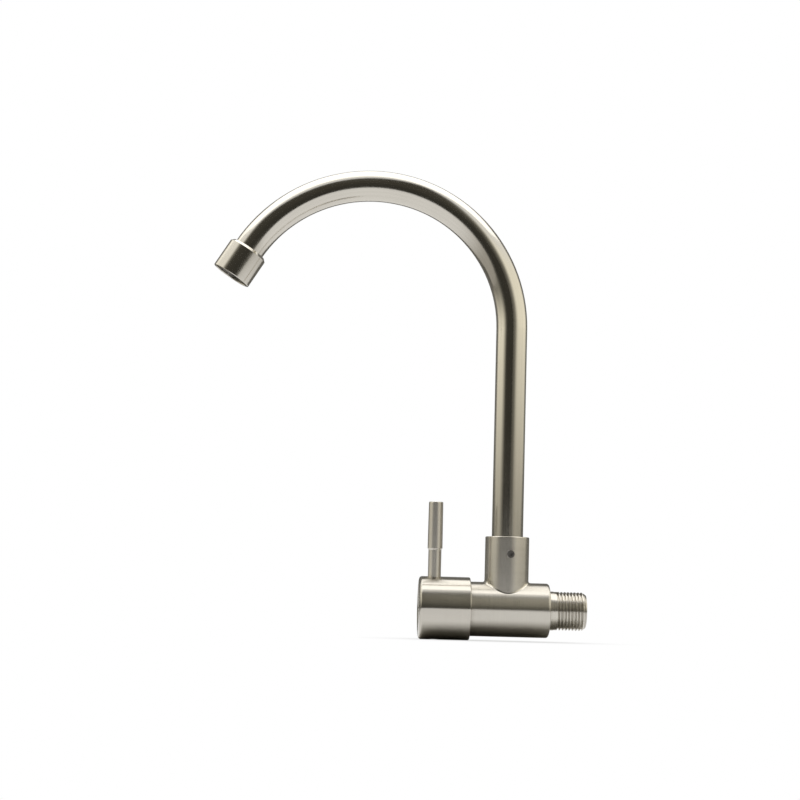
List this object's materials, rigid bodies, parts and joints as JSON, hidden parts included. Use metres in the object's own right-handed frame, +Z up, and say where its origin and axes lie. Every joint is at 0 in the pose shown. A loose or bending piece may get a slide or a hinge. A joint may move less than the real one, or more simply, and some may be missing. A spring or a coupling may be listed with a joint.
{
  "type": "kitchen faucet",
  "caption": "Wall-mounted kitchen tap: horizontal barrel with a pin-lever handle, a male pipe inlet and a swivelling gooseneck spout with an aerator nozzle.",
  "frame": {"origin": "centre of the barrel's wall-end face, on the barrel's axis, where the inlet thread starts", "axes": "+X out through the inlet thread towards the wall, -X towards the handle, +Z up along the spout's riser"},
  "size_m": [0.2103, 0.0344, 0.2596],
  "materials": {
    "steel_brushed": "fine brushed stainless steel, satin",
    "steel_tube": "lightly brushed stainless tube, lengthwise grain",
    "steel_threaded": "turned stainless steel with tool marks",
    "steel_screw": "dull stainless steel hardware",
    "brass": "machined brass",
    "ceramic": "lapped white ceramic",
    "rubber": "black sealing rubber",
    "bearing_plastic": "white bearing plastic",
    "aerator_plastic": "dark grey moulded plastic"
  },
  "bodies": {
    "body": {"barrel": "steel_brushed", "spout_socket": "steel_brushed", "inlet_nipple": "steel_threaded", "socket_grub_screw": "steel_screw", "spout_thrust_washer": "bearing_plastic", "cartridge_housing": "brass", "cartridge_gasket": "rubber", "seat_seal": "rubber", "fixed_disc": "ceramic"},
    "handle": {"handle_hub": "steel_brushed", "lever_rod": "steel_brushed", "handle_grub_screw": "steel_screw", "spindle": "brass", "moving_disc": "ceramic", "spindle_o_ring_inner": "rubber", "spindle_o_ring_outer": "rubber", "spindle_thrust_washer": "bearing_plastic", "spindle_clip": "steel_screw"},
    "spout": {"spout_tail": "steel_threaded", "spout_tube": "steel_tube", "spout_o_ring_lower": "rubber", "spout_o_ring_upper": "rubber", "nozzle_sleeve": "steel_brushed", "aerator_washer": "rubber", "aerator_screen": "steel_screw", "aerator_flow_disc": "aerator_plastic", "aerator_housing": "aerator_plastic"}
  },
  "joints": [
    {"name": "handle_turn", "type": "hinge", "parent": "body", "child": "handle", "pos_m": [-0.06, 0, 0], "axis": [-1, 0, 0], "range_deg": [0, 90]},
    {"name": "spout_swivel", "type": "hinge", "parent": "body", "child": "spout", "pos_m": [-0.02345, 0, 0.03], "axis": [0, 0, 1], "continuous": true}
  ]
}
